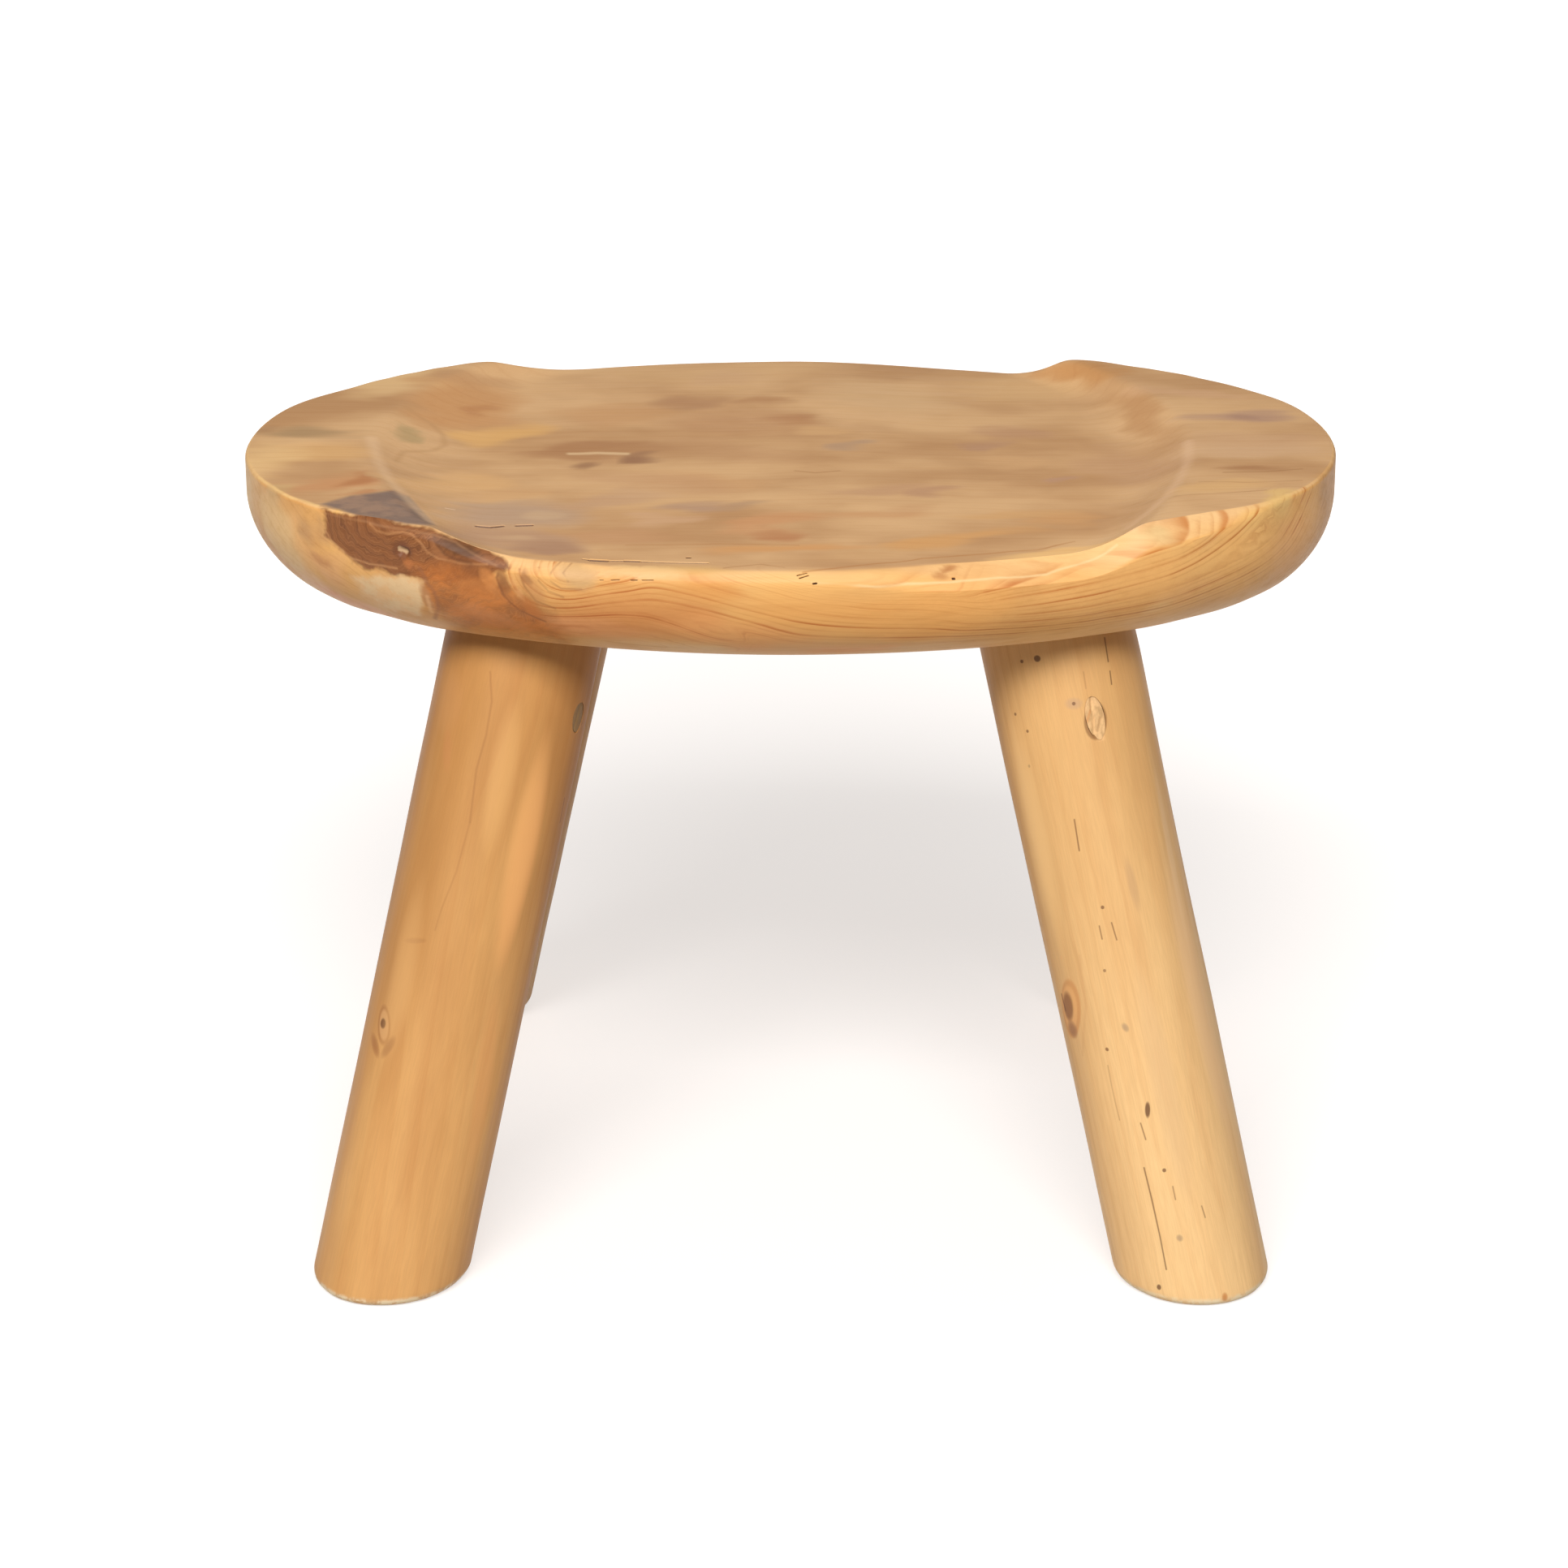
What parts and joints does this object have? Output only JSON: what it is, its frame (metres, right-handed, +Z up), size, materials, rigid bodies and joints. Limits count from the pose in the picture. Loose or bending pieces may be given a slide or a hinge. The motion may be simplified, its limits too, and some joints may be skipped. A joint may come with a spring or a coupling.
{
  "type": "lobi stool",
  "caption": "Low wooden stool with a thick oval seat, scooped in the middle and raised at both ends, on splayed round pole legs.",
  "frame": {"origin": "on the floor, under the centre of the bounding box", "axes": "+X along the seat's long side, -Y to the pictured front, +Z up"},
  "size_m": [0.453, 0.3354, 0.316],
  "materials": {
    "seat_wood": "smooth sanded, thin matt oil",
    "leg_wood": "peeled and sanded pole, thin matt oil",
    "plug_wood": "sanded flush, matt",
    "screw_steel": "zinc plated"
  },
  "bodies": {
    "root": {"seat": "seat_wood", "front_left_leg": "leg_wood", "front_left_screw": "screw_steel", "front_left_plug": "plug_wood", "front_right_leg": "leg_wood", "front_right_screw": "screw_steel", "front_right_plug": "plug_wood", "rear_left_leg": "leg_wood", "rear_left_screw": "screw_steel", "rear_left_plug": "plug_wood", "rear_right_leg": "leg_wood", "rear_right_screw": "screw_steel", "rear_right_plug": "plug_wood"}
  },
  "joints": []
}
